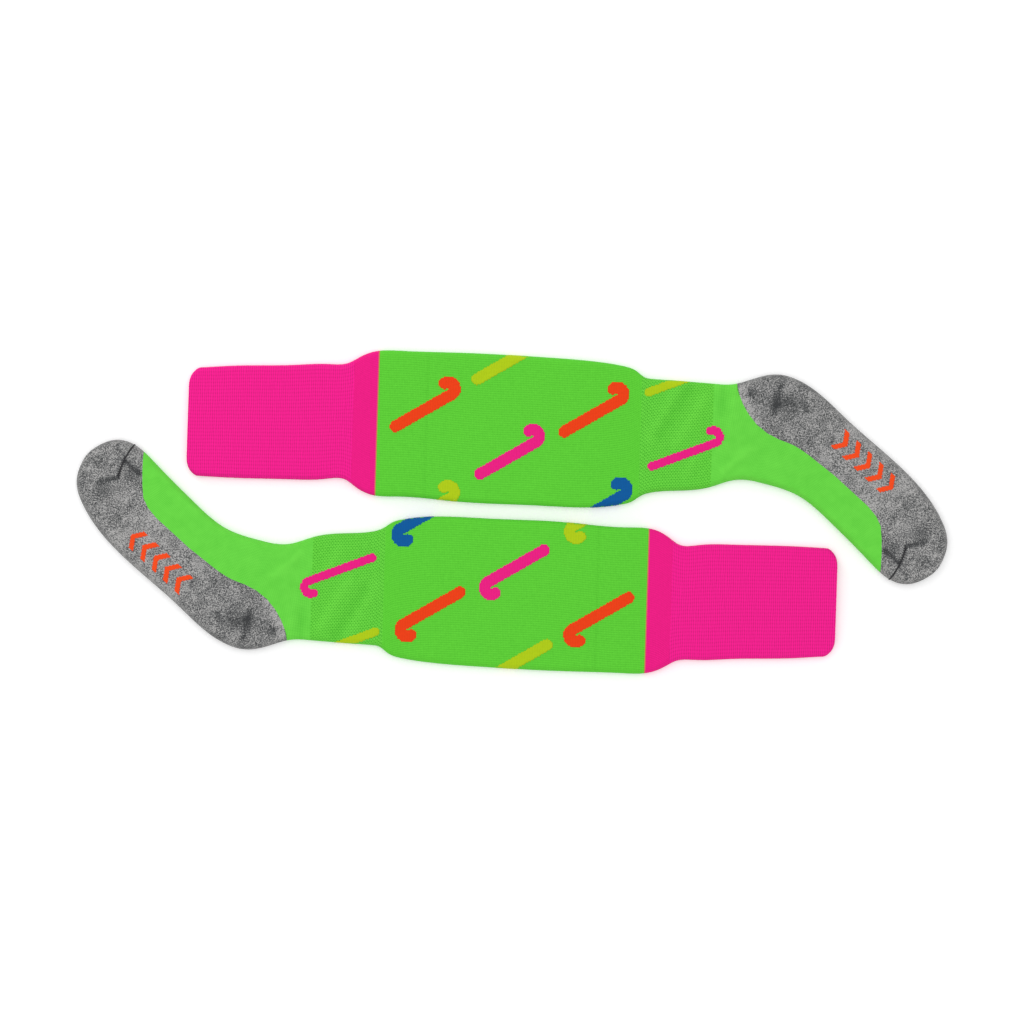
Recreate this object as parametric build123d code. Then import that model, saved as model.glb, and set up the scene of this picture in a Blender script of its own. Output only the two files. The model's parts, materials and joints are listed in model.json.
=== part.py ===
"""A pair of knee-length field hockey socks, laid flat side by side and head to tail.

Each sock is one knitted tube, pressed flat, so every zone of it is a hollow ring with a top wall, a
bottom wall and two folded edges. The zones are knitted one after the other: welt, rib, flare, calf,
mesh and ankle down the leg, then the instep in front and the heel, sole and toe behind. Sticks in
four yarns are knitted into the calf and the mesh.

Sock frame: x along the leg from the ankle to the mouth, y towards the shin, z up, z = 0 on the table.
The foot has a frame of its own: a along the foot from the heel's centre to the toe, b towards the
instep. The row's origin is on the table, midway between the two socks, and +X runs along the first
sock's leg to its mouth. Lengths are in millimetres and angles in degrees.
"""

import os
from math import cos, radians, sin

from build123d import *

# Lengths along the leg, each zone from the end of the one before.
ANKLE_LENGTH = 15.0
MESH_LENGTH = 57.5
CALF_LENGTH = 210.0
FLARE_LENGTH = 19.0
RIB_LENGTH = 108.0
WELT_LENGTH = 24.0

# Widths of the tube as it lies flat.
ANKLE_WIDTH = 78.0
MESH_FOOT_WIDTH = 83.0
MESH_TOP_WIDTH = 91.5
CALF_WIDTH = 119.5
CALF_TOP_WIDTH = 114.0
RIB_ROOT_WIDTH = 92.5
MOUTH_WIDTH = 87.0
MOUTH_CORNER = 14.0
MOUTH_EASE = 0.25
MOUTH_SIDE = 3.0
WELT_TAPER = 1.8

# The foot: how far it is bent from the leg's line, and its sizes.
FOOT_BEND = 41.5
FOOT_LENGTH = 207.5
FOOT_WIDTH = 71.0
HEEL_RADIUS = 32.4
HEEL_BACK = 39.5
HEEL_DROP = 17.0
HEEL_LENGTH = 66.0
HEEL_RISE = 19.2
SOLE_RISE = 5.7
TOE_LENGTH = 57.0

# Heights of the flattened tube, and the thickness of each knitted wall.
CUFF_HEIGHT = 10.0
LEG_HEIGHT = 10.0
FOOT_HEIGHT = 12.0
WELT_WALL = 2.6
RIB_WALL = 1.8
FLARE_WALL = 1.8
CALF_WALL = 1.6
MESH_WALL = 1.2
ANKLE_WALL = 1.5
INSTEP_WALL = 1.7
TERRY_WALL = 2.8
RIM_ROUND = 0.9
RIM_TURNS = (-90, -52, -20, 20, 52, 90)

# Yarns knitted or laid into the walls.
INLAY_DEPTH = 0.6
STICK_THICKNESS = 9.2
STICK_HOOK_RADIUS = 5.2
STICK_HOOK_SWEEP = 186.0
STICK_LENGTH = 51.5
STICK_TILT = 31.5
MESH_STICK_THICKNESS = 6.8
MESH_STICK_LENGTH = 54.0
MESH_STICK_TILT = 22.0
ELASTIC_COUNT = 8
ELASTIC_WIDTH = 1.2
ELASTIC_DEPTH = 0.5
ELASTIC_GAP = 0.03
SEAM_WIDTH = 1.4
SEAM_REACH = 28.0
SEAM_LEAN = 8.0
SEAM_FROM_TIP = 22.5
MARK_COUNT = 5
MARK_PITCH = 12.5
MARK_HEIGHT = 18.0
MARK_POINT = 6.0
MARK_STROKE = 4.6

# Joints: the ankle turns about a pin through the leg's middle, and the cuff folds over the flare.
ANKLE_PIVOT = (10.0, 0.0)
ANKLE_RADIUS = 44.0
JOINT_GAP = 0.4

# How the pair lies.
LAY_ANGLE = -1.84
MOUTH_PAST_ANKLE = 84.0
PAIR_GAP = 3.5

# Places along the leg that follow from the lengths.
MESH_FOOT = ANKLE_LENGTH
MESH_TOP = MESH_FOOT + MESH_LENGTH
CALF_TOP = MESH_TOP + CALF_LENGTH
RIB_ROOT = CALF_TOP + FLARE_LENGTH
WELT_ROOT = RIB_ROOT + RIB_LENGTH
MOUTH = WELT_ROOT + WELT_LENGTH
TOE_TIP = FOOT_LENGTH - HEEL_RADIUS
SOLE_START = HEEL_LENGTH - HEEL_RADIUS
TOE_START = TOE_TIP - TOE_LENGTH
REACH = 2 * (MOUTH + FOOT_LENGTH)


# The sticks knitted into the leg: yarn, zone, the hook's place past the zone's start, and its height.
STICKS = (
    ("pink", "mesh", -0.5, 2.1),
    ("yellow", "mesh", 5.0, -57.0),
    ("blue", "calf", 14.5, 46.3),
    ("orange", "calf", 19.5, -29.6),
    ("pink", "calf", 85.5, 6.2),
    ("yellow", "calf", 90.0, -69.3),
    ("orange", "calf", 154.0, -29.6),
    ("yellow", "calf", 152.0, 53.1),
)


def foot(a, b):
    """A point of the foot's frame, in the sock's frame."""
    turn = radians(180 - FOOT_BEND)
    return (
        -HEEL_BACK + a * cos(turn) + b * sin(turn),
        -HEEL_DROP + a * sin(turn) - b * cos(turn),
    )


def leg_stations():
    """The flat tube's place, width and sideways lean at each point where the leg changes."""
    shoulder = CALF_WIDTH - MESH_TOP_WIDTH
    return [
        (MESH_FOOT, MESH_FOOT_WIDTH, 0.8),
        (MESH_FOOT + 0.45 * MESH_LENGTH, 0.4 * MESH_FOOT_WIDTH + 0.6 * MESH_TOP_WIDTH, 2.1),
        (MESH_TOP - 9, MESH_TOP_WIDTH, 2.8),
        (MESH_TOP - 2, MESH_TOP_WIDTH + 0.13 * shoulder, 3.5),
        (MESH_TOP + 5, MESH_TOP_WIDTH + 0.48 * shoulder, 3.4),
        (MESH_TOP + 15, MESH_TOP_WIDTH + 0.71 * shoulder, 3.2),
        (MESH_TOP + 32, MESH_TOP_WIDTH + 0.88 * shoulder, 3.2),
        (MESH_TOP + 0.38 * CALF_LENGTH, CALF_WIDTH - 0.4, 2.0),
        (MESH_TOP + 0.68 * CALF_LENGTH, CALF_WIDTH, 0.8),
        (CALF_TOP - 18, CALF_WIDTH - 2.5, -0.5),
        (CALF_TOP + 5, CALF_TOP_WIDTH, -0.4),
        (CALF_TOP + 0.85 * FLARE_LENGTH, 0.50 * CALF_TOP_WIDTH + 0.50 * RIB_ROOT_WIDTH, -0.8),
        (RIB_ROOT + 5, RIB_ROOT_WIDTH + 1.2, -1.2),
        (RIB_ROOT + 22, RIB_ROOT_WIDTH, -0.4),
        (RIB_ROOT + 0.45 * RIB_LENGTH, RIB_ROOT_WIDTH - 0.5, 1.0),
        (WELT_ROOT - 10, MOUTH_WIDTH + 3, 2.2),
    ]


def side(front, inset):
    """Points along one edge of the leg, from the ankle to the rib, moved in by inset."""
    sign = 1 if front else -1
    return [(x, lean + sign * (width / 2 - inset)) for x, width, lean in leg_stations()]


def outline(inset=0.0, past_mouth=0.0):
    """The sock's plan as a face, moved in by inset, and run past the mouth by past_mouth."""
    half = FOOT_WIDTH / 2 - inset
    heel = HEEL_RADIUS - inset
    end = MOUTH + past_mouth
    toe = foot(TOE_TIP - inset, 0.15 * FOOT_WIDTH / 2)
    front = [
        toe,
        foot(TOE_TIP - 7 - 0.7 * inset, half - 9),
        foot(TOE_TIP - 22, half + 0.6),
        foot(TOE_TIP - 45, half + 1.4),
        foot(0.5 * TOE_TIP, half),
        foot(SOLE_START + 18, half + 2.8),
        foot(SOLE_START - 9, half + 15.5),
        (-ANKLE_LENGTH - 3, ANKLE_WIDTH / 2 - 2.7 - inset),
        (-0.2 * ANKLE_LENGTH, ANKLE_WIDTH / 2 - 2.7 - inset),
        *side(True, inset),
        (end, MOUTH_SIDE + MOUTH_WIDTH / 2 - inset),
    ]
    back = [
        (end, MOUTH_SIDE - MOUTH_WIDTH / 2 + inset),
        *reversed(side(False, inset)),
        (0.0, -ANKLE_WIDTH / 2 - 1.6 + inset),
        foot(-0.99 * heel, -0.39 * heel),
        foot(-0.70 * heel, -0.72 * heel),
        foot(0.0, -heel),
        foot(SOLE_START + 6, -half + 1.6),
        foot(0.5 * TOE_TIP, -half),
        foot(TOE_TIP - 55, -half + 1.0),
        foot(TOE_TIP - 23, -half + 9),
        foot(TOE_TIP - 7 - 0.7 * inset, -half + 20.5),
        toe,
    ]
    across = Vector(*foot(0, 1)) - Vector(*foot(0, 0))
    with BuildSketch() as plan:
        with BuildLine():
            Spline(*front, tangents=(across, (1, 0)), tangent_scalars=(0.6, 1))
            Line(front[-1], back[0])
            Spline(*back, tangents=((-1, 0), across), tangent_scalars=(1, 0.6))
        make_face()
    return plan.sketch


def pillow(height, inset=0.0, past_mouth=0.0):
    """The flat tube as one solid with rounded folds, all its faces moved in by inset."""
    radius = height / 2 - inset
    layers = []
    for turn in RIM_TURNS:
        rise = height / 2 + radius * sin(radians(turn))
        step = RIM_ROUND * radius * (1 - cos(radians(turn)))
        layers.append(Pos(0, 0, rise) * outline(inset + step, past_mouth))
    return loft(layers, ruled=True)


def slab(x_from, x_to):
    """Everything between two places along the leg."""
    return Pos((x_from + x_to) / 2, 0, 0) * Box(x_to - x_from, REACH, REACH)


def foot_prism(points):
    """An upright block over a polygon given in the foot's frame."""
    corners = [foot(a, b) for a, b in points]
    with BuildSketch() as plan:
        with BuildLine():
            Polyline(*corners, close=True)
        make_face()
    return extrude(plan.sketch, REACH / 2, both=True)


def gore():
    """The grey side of the foot: an upright block under the border that climbs over heel and toe."""
    heel_peak = 0.25 * HEEL_RADIUS
    border = [
        (-1.6 * HEEL_RADIUS, 0.0),
        (-HEEL_RADIUS, HEEL_RISE - 6.0),
        (-heel_peak, HEEL_RISE),
        (heel_peak, HEEL_RISE - 2.0),
        (SOLE_START, 0.3 * HEEL_RISE + 0.7 * SOLE_RISE),
        ((SOLE_START + TOE_START) / 2, SOLE_RISE),
        (TOE_START - 14, SOLE_RISE),
        (TOE_START + 2, SOLE_RISE + 5.0),
        (TOE_START + 27, FOOT_WIDTH / 2 + 2.0),
    ]
    beyond = [
        (TOE_START + 27, FOOT_WIDTH),
        (REACH / 2, FOOT_WIDTH),
        (REACH / 2, -REACH / 2),
        (-REACH / 2, -REACH / 2),
        (-REACH / 2, 0.0),
    ]
    with BuildSketch() as plan:
        with BuildLine():
            Spline(*[foot(a, b) for a, b in border])
            Polyline(foot(*border[-1]), *[foot(a, b) for a, b in beyond], foot(*border[0]))
        make_face()
    return extrude(plan.sketch, REACH / 2, both=True)


def stick(length, thickness, tilt, x, y):
    """A knitted hockey stick as an upright block: a round-ended shaft with a hook curling under it."""
    half = thickness / 2
    radius = STICK_HOOK_RADIUS
    centre = (0, -radius)
    tip = 90 + STICK_HOOK_SWEEP

    def on(reach, turn):
        return (reach * cos(radians(turn)), centre[1] + reach * sin(radians(turn)))

    middle = (90 + tip) / 2
    nose = on(radius, tip)
    past = (nose[0] - half * sin(radians(tip)), nose[1] + half * cos(radians(tip)))
    with BuildSketch() as plan:
        with BuildLine():
            Line((length, half), (0, half))
            ThreePointArc((0, half), on(radius + half, middle), on(radius + half, tip))
            ThreePointArc(on(radius + half, tip), past, on(radius - half, tip))
            ThreePointArc(on(radius - half, tip), on(radius - half, middle), (0, -half))
            Line((0, -half), (length, -half))
            ThreePointArc((length, -half), (length + half, 0), (length, half))
        make_face()
    block = extrude(plan.sketch, REACH / 2, both=True)
    return Pos(x, y, 0) * Rot(0, 0, tilt) * Pos(0, radius, 0) * block


def chevrons():
    """The knitted mark on the sole, a row of arrowheads, as upright blocks."""
    middle = -0.25 * FOOT_WIDTH
    start = (SOLE_START + TOE_START) / 2 - (MARK_COUNT * MARK_PITCH) / 2
    blocks = []
    for number in range(MARK_COUNT):
        a = start + number * MARK_PITCH
        point = a + MARK_POINT
        low = middle - MARK_HEIGHT / 2
        high = middle + MARK_HEIGHT / 2
        near = [(a, low), (point, middle), (a, high)]
        far = [(a + MARK_STROKE, high), (point + MARK_STROKE, middle), (a + MARK_STROKE, low)]
        blocks.append(foot_prism(near + far))
    return blocks


def toe_seam():
    """The linked seam over the toe, from the instep's fold towards the sole, as an upright block."""
    a = TOE_TIP - SEAM_FROM_TIP
    edge = FOOT_WIDTH / 2 + 3.0
    inner = edge - SEAM_REACH - 3.0
    near = [(a, edge), (a - 0.35 * SEAM_LEAN, (edge + inner) / 2), (a - SEAM_LEAN, inner)]
    far = [(a + SEAM_WIDTH, b) for a, b in reversed(near)]
    return foot_prism(near + far)


def elastic_bands():
    """Slices across the rib, one for each turn of elastic laid along its inner face."""
    pitch = RIB_LENGTH / ELASTIC_COUNT
    starts = [RIB_ROOT + (number + 0.5) * pitch for number in range(ELASTIC_COUNT)]
    return [slab(start, start + ELASTIC_WIDTH) for start in starts]


def tube(height, wall):
    """The whole sock as a hollow flat tube of one height and wall, open at the mouth."""
    return pillow(height) - pillow(height, wall, 2 * wall)


def build_leg():
    """The ankle, mesh, calf and flare, with the sticks knitted into them."""
    px, py = ANKLE_PIVOT
    ankle_end = Pos(px, py, 0) * Cylinder(ANKLE_RADIUS, REACH)
    skin = tube(LEG_HEIGHT, INLAY_DEPTH)
    calf = tube(LEG_HEIGHT, CALF_WALL) & slab(MESH_TOP, CALF_TOP)
    mesh = tube(LEG_HEIGHT, MESH_WALL) & slab(MESH_FOOT, MESH_TOP)
    ankle = (tube(LEG_HEIGHT, ANKLE_WALL) & slab(-REACH, MESH_FOOT)) & ankle_end
    flare = tube(LEG_HEIGHT, FLARE_WALL) & slab(CALF_TOP, RIB_ROOT - JOINT_GAP / 2)
    skin = skin & slab(px - ANKLE_RADIUS / 2, CALF_TOP)
    sticks = {}
    for yarn, zone, along, across in STICKS:
        if zone == "mesh":
            sizes = (MESH_STICK_LENGTH, MESH_STICK_THICKNESS, MESH_STICK_TILT)
            block = stick(*sizes, MESH_FOOT + along, across)
        else:
            sizes = (STICK_LENGTH, STICK_THICKNESS, STICK_TILT)
            block = stick(*sizes, MESH_TOP + along, across)
        calf -= block & skin
        mesh -= block & skin
        ankle -= block & skin
        sticks.setdefault(yarn, []).append(block & skin)
    nodes = {"calf": calf, "ankle_mesh": mesh, "ankle": ankle, "cuff_flare": flare}
    for yarn, pieces in sticks.items():
        nodes["sticks_" + yarn] = pieces
    return nodes


def round_mouth():
    """An upright block just wider than the welt, which rounds the two corners of the mouth."""
    past = MOUTH_WIDTH / 2 + MOUTH_EASE
    root = past + WELT_TAPER
    with BuildSketch() as plan:
        with BuildLine():
            Polyline(
                (MOUTH, MOUTH_SIDE - past),
                (MOUTH, MOUTH_SIDE + past),
                (WELT_ROOT - 1, MOUTH_SIDE + root),
                (WELT_ROOT - 1, MOUTH_SIDE - root),
                close=True,
            )
        make_face()
        fillet(plan.vertices().group_by(Axis.X)[-1], MOUTH_CORNER)
    return extrude(plan.sketch, REACH, both=True)


def build_cuff():
    """The ribbed cuff with its laid-in elastic, and the turned welt at the mouth."""
    rib = tube(CUFF_HEIGHT, RIB_WALL) & slab(RIB_ROOT + JOINT_GAP / 2, WELT_ROOT)
    welt = (tube(CUFF_HEIGHT, WELT_WALL) & slab(WELT_ROOT, MOUTH + 1)) & round_mouth()
    outer = RIB_WALL + ELASTIC_GAP
    inner = outer + ELASTIC_DEPTH
    lining = pillow(CUFF_HEIGHT, outer, WELT_WALL) - pillow(CUFF_HEIGHT, inner, 2 * WELT_WALL)
    elastic = [lining & band for band in elastic_bands()]
    return {"cuff_rib": rib, "cuff_welt": welt, "cuff_elastic": elastic}


def build_foot():
    """The instep, and the looped heel, sole and toe, with the sole's mark and the toe's seam."""
    px, py = ANKLE_PIVOT
    clear = Pos(px, py, 0) * Cylinder(ANKLE_RADIUS + JOINT_GAP, REACH)
    foot_side = slab(-REACH, px) - clear
    grey = gore()
    terry = (tube(FOOT_HEIGHT, TERRY_WALL) & foot_side) & grey
    instep = (tube(FOOT_HEIGHT, INSTEP_WALL) & foot_side) - grey
    skin = tube(FOOT_HEIGHT, INLAY_DEPTH) & foot_side
    heel_cut = foot_prism([(-REACH, -REACH), (SOLE_START, -REACH), (SOLE_START, REACH), (-REACH, REACH)])
    toe_cut = foot_prism([(TOE_START, -REACH), (REACH, -REACH), (REACH, REACH), (TOE_START, REACH)])
    heel = terry & heel_cut
    toe = terry & toe_cut
    sole = terry - heel_cut - toe_cut
    seam = skin & toe_seam()
    mark = []
    for block in chevrons():
        mark.append(skin & block)
        sole -= skin & block
    toe -= seam
    return {
        "instep": instep - seam,
        "heel": heel,
        "sole": sole,
        "toe_cap": toe,
        "toe_seam": seam,
        "sole_mark": mark,
    }


def solids_of(shape):
    """The separate solids of a shape or of a list of shapes, without slivers."""
    pieces = shape if isinstance(shape, list) else [shape]
    solids = [solid for piece in pieces for solid in piece.solids()]
    return [solid for solid in solids if solid.volume > 0.5]


def main():
    os.makedirs("parts", exist_ok=True)
    sock = {**build_leg(), **build_cuff(), **build_foot()}
    ankle_x = -(MOUTH - MOUTH_PAST_ANKLE) / 2
    ankle_y = -(CALF_WIDTH + PAIR_GAP) / 2
    lay = Pos(ankle_x, ankle_y, 0) * Rot(0, 0, LAY_ANGLE)
    for name, shape in sock.items():
        solids = solids_of(shape)
        for prefix, turn in (("sock_a_", 0), ("sock_b_", 180)):
            place = Rot(0, 0, turn) * lay
            placed = Compound(children=[place * solid for solid in solids])
            export_step(placed, f"parts/{prefix}{name}.step")
            print(prefix + name, len(solids), round(placed.volume))


if __name__ == "__main__":
    main()
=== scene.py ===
"""A pair of knee-length field hockey socks, laid flat on a white table, head to tail.

Each sock is one knitted tube. It is built below in the order it is knitted and finished, on a lay of
its own: x along the leg from the ankle to the mouth, y towards the shin, z up, in millimetres. Each
piece is then set down twice, once for each sock.
"""

import json
import math

import bmesh
import bpy
import numpy as np
from mathutils import Matrix, Vector, noise
from mathutils.bvhtree import BVHTree


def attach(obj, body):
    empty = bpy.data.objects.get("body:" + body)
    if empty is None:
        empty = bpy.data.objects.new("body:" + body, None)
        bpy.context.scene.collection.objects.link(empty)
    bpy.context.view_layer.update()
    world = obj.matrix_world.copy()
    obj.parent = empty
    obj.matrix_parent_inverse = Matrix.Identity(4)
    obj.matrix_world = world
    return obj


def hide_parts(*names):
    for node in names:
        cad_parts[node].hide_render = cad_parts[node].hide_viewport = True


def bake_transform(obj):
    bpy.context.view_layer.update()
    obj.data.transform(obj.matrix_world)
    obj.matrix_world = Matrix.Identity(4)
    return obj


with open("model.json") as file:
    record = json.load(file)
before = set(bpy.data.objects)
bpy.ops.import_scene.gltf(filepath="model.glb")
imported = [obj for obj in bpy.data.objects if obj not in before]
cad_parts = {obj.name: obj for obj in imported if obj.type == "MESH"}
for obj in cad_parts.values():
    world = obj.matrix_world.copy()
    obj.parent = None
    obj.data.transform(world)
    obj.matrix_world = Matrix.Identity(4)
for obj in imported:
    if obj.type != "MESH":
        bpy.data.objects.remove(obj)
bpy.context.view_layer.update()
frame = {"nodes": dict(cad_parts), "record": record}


# ---------------------------------------------------------------- the table and the light
# The socks lie on a white table under a large soft lamp, with a weaker one low at the side that
# brings out the ribs. The camera looks straight down on them.
TABLE_COLOUR = (1.0, 1.0, 1.0, 1.0)
TABLE_REACH = 3.0
TABLE_DROP = 0.0001
TABLE_GLOW = 0.10
ROOM_COLOUR = (1.0, 1.0, 1.0, 1.0)
ROOM_LIGHT = 0.72
VIEW_WIDTH = 0.8192
CAMERA_HEIGHT = 2.6
SENSOR = 0.036

scene = bpy.context.scene
scene.view_settings.view_transform = "Standard"
scene.view_settings.look = "None"

table_mesh = bpy.data.meshes.new("table")
table_mesh.from_pydata(
    [(TABLE_REACH * x, TABLE_REACH * y, 0) for x, y in ((-1, -1), (1, -1), (1, 1), (-1, 1))],
    [],
    [(0, 1, 2, 3)],
)
table = bpy.data.objects.new("table", table_mesh)
table.location.z = -TABLE_DROP
scene.collection.objects.link(table)
table_finish = bpy.data.materials.new("table_white")
table_finish.use_nodes = True
table_shader = table_finish.node_tree.nodes["Principled BSDF"]
table_shader.inputs["Base Color"].default_value = TABLE_COLOUR
table_shader.inputs["Roughness"].default_value = 0.9
table_shader.inputs["Specular IOR Level"].default_value = 0.1
table_shader.inputs["Emission Color"].default_value = TABLE_COLOUR
table_shader.inputs["Emission Strength"].default_value = TABLE_GLOW
table_mesh.materials.append(table_finish)

world = bpy.data.worlds.new("studio")
scene.world = world
world.use_nodes = True
room = world.node_tree.nodes["Background"]
room.inputs["Color"].default_value = ROOM_COLOUR
room.inputs["Strength"].default_value = ROOM_LIGHT


def lamp(name, place, size, power):
    """A square softbox at a place, turned to face the middle of the table."""
    data = bpy.data.lights.new(name, "AREA")
    data.shape = "SQUARE"
    data.size = size
    data.energy = power
    light = bpy.data.objects.new(name, data)
    light.location = place
    light.rotation_euler = (-Vector(place)).to_track_quat("-Z", "Y").to_euler()
    scene.collection.objects.link(light)


lamp("overhead_softbox", (-0.15, 0.25, 2.9), 2.8, 30.0)
lamp("side_softbox", (-1.3, 1.5, 0.7), 0.8, 7.0)

camera_data = bpy.data.cameras.new("camera")
camera_data.sensor_width = SENSOR * 1000
camera_data.lens = SENSOR * 1000 * CAMERA_HEIGHT / VIEW_WIDTH
camera_data.clip_end = 20.0
camera = bpy.data.objects.new("camera", camera_data)
camera.location = (0.0, 0.0, CAMERA_HEIGHT)
scene.collection.objects.link(camera)
scene.camera = camera


# ---------------------------------------------------------------- the calf
# The long green tube over the shin guard, knitted plain. Its courses run across the leg and its
# wales run along it, and the flat tube is soft, a little hollow here and there, round at its folds.
PIN_PLACE = 10.0
SHIN_SIDE = 112.5
FAN = 60.0
FOOT_BEND = math.radians(41.5)
FOLD_ROUND = 0.9
FOLD_READ_STEP = 0.75
MOUTH_ZONE = 16.0
MOUTH_CLEAR = 14.5
TOE_MARGIN = 0.15
FOOT_RISE_FROM = 10.0
FOOT_RISE_LENGTH = 60.0
CROWN = (0.83, 0.11)
SWELL_SLOW = 0.42
SWELL_QUICK = 0.13
UNDERSIDE_SWELL = 0.25
CALF_GREEN = (0.124, 0.660, 0.042)
# The groove colour is painted shade: the same green, darker where the stitches dip.
CALF_GROOVE_SHADE = (0.055, 0.400, 0.016)
JERSEY_WALE = 1.8
JERSEY_COURSE = 1.3
JERSEY_WALL = 1.5
HEATHER = 0.12
HOLE_EDGE = 0.32
HOLE_SINK = 0.8
JOIN_HALF = 0.45
CREASE_SHADE = 0.35

joints = {joint["name"]: joint for joint in frame["record"]["behaviour"]["joints"]}
ankle_pin = Vector(joints["sock_a_ankle_bend"]["pos_m"]) * 1000
fold_pin = Vector(joints["sock_a_cuff_fold"]["pos_m"]) * 1000
along_leg = (fold_pin - ankle_pin).xy.normalized()
lay_angle = math.atan2(along_leg.y, along_leg.x)
lay = Matrix.Rotation(lay_angle, 4, "Z")
lay.translation = Vector((ankle_pin.x, ankle_pin.y, 0)) - lay @ Vector((PIN_PLACE, 0, 0))
lay_a = Matrix.Scale(0.001, 4) @ lay
socks = {"a": lay_a, "b": Matrix.Rotation(math.pi, 4, "Z") @ lay_a}


def on_lay(node):
    """The corners of one of the first sock's CAD nodes, on the sock's own lay, as an array."""
    unlay = lay_a.inverted()
    return np.array([unlay @ v.co for v in frame["nodes"]["sock_a_" + node].data.vertices])


ANKLE_TOP = on_lay("ankle_mesh")[:, 0].min()
calf_from = on_lay("calf")[:, 0].min() - ANKLE_TOP
calf_to = on_lay("calf")[:, 0].max() - ANKLE_TOP
leg_height = on_lay("calf")[:, 2].max()
foot_height = on_lay("toe_cap")[:, 2].max()


def course(t):
    """The start of a course, off the shin's side, and its direction to the other fold.

    Courses are counted in millimetres from the ankle: up the leg, then down, fanning round the heel,
    and along the foot to the toe.
    """
    turn = np.clip(-t / FAN, 0, 1) * FOOT_BEND
    beyond = np.clip(-t - FAN, 0, None)
    start_x = ANKLE_TOP + np.clip(t, 0, None) - np.cos(turn) * beyond
    start_y = SHIN_SIDE + np.sin(turn) * beyond
    return start_x, start_y, -np.sin(turn), -np.cos(turn)


def off_course(x, y):
    """The course through a point and the point's distance along it, from x and y on the lay."""
    if x >= ANKLE_TOP:
        return x - ANKLE_TOP, SHIN_SIDE - y
    dx, dy = x - ANKLE_TOP, y - SHIN_SIDE
    turn = math.atan2(-dx, -dy)
    if turn <= FOOT_BEND:
        return -FAN * turn / FOOT_BEND, math.hypot(dx, dy)
    beyond = -dx * math.cos(FOOT_BEND) + dy * math.sin(FOOT_BEND)
    return -FAN - beyond, -dx * math.sin(FOOT_BEND) - dy * math.cos(FOOT_BEND)


def read_folds():
    """The two folds of the CAD sock, as distances along each course.

    Each is looked for from outside at a few heights, as the open mouth shows no fold at mid height.
    """
    corners, faces = [], []
    for name, node in frame["nodes"].items():
        if name.startswith("sock_a_") and "elastic" not in name:
            base = len(corners)
            unlay = lay_a.inverted()
            corners += [unlay @ v.co for v in node.data.vertices]
            faces += [[base + i for i in face.vertices] for face in node.data.polygons]
    tree = BVHTree.FromPolygons(corners, faces)
    foot_corners = np.array([off_course(c.x, c.y)[0] for c in corners])
    mouth = max(c.x for c in corners) - ANKLE_TOP
    far = 320.0
    anywhere = ((-0.35, 0.5), (0.0, 0.5), (0.35, 0.5), (0.0, 0.78))
    near_mouth = ((0.0, 0.5), (0.0, 0.78))
    places = np.arange(foot_corners.min() + TOE_MARGIN, mouth - MOUTH_ZONE, FOLD_READ_STEP)
    dense = mouth - MOUTH_ZONE * (1 - np.linspace(0, 0.995, 60)) ** 1.5
    places = np.concatenate([places, dense])
    shin, back = [], []
    for t in places:
        near_hits, far_hits = [], []
        for nudge, level in anywhere if t < mouth - MOUTH_CLEAR else near_mouth:
            sx, sy, dx, dy = (float(v) for v in course(np.array(t + nudge)))
            start, way = Vector((sx, sy, level * leg_height)), Vector((dx, dy, 0))
            hit = tree.ray_cast(start, way)[3]
            if hit is not None:
                near_hits.append(hit)
            hit = tree.ray_cast(start + way * far, -way)[3]
            if hit is not None:
                far_hits.append(far - hit)
        shin.append(min(near_hits) if near_hits else shin[-1])
        back.append(max(far_hits) if far_hits else back[-1])
    return places, np.array(shin), np.array(back), mouth


fold_places, shin_folds, back_folds, mouth_at = read_folds()
toe_at = fold_places[0] - TOE_MARGIN


def shin_fold(t):
    """Where a course meets the fold on the shin's side."""
    return np.interp(t, fold_places, shin_folds)


def back_fold(t):
    """Where a course meets the fold on the other side."""
    return np.interp(t, fold_places, back_folds)


# Each crease is a line's start and end, its width and its rise; its rise also paints light along it or
# shade in it. Each entry of the second list is a place, a radius and how much painted light it adds
# there; below zero it adds painted shade.
creases = []
light_and_shade_patches = []


def near_line(x, y, start, end):
    """The distance of a point from a straight line between two points."""
    along = (end[0] - start[0], end[1] - start[1])
    length = math.hypot(*along)
    part = ((x - start[0]) * along[0] + (y - start[1]) * along[1]) / length**2
    part = min(max(part, 0.0), 1.0)
    return math.hypot(x - start[0] - part * along[0], y - start[1] - part * along[1])


def swell(x, y, side):
    """How far the soft tube stands above or below its even height, in millimetres."""
    slow = noise.noise(Vector((x / 34, y / 26, side * 9.0)))
    quick = noise.noise(Vector((x / 13, y / 11, side * 17.0 + 3.0)))
    height = SWELL_SLOW * slow + SWELL_QUICK * quick
    for start, end, width, rise in creases:
        height += rise * math.exp(-((near_line(x, y, start, end) / width) ** 2))
    return height


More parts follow.
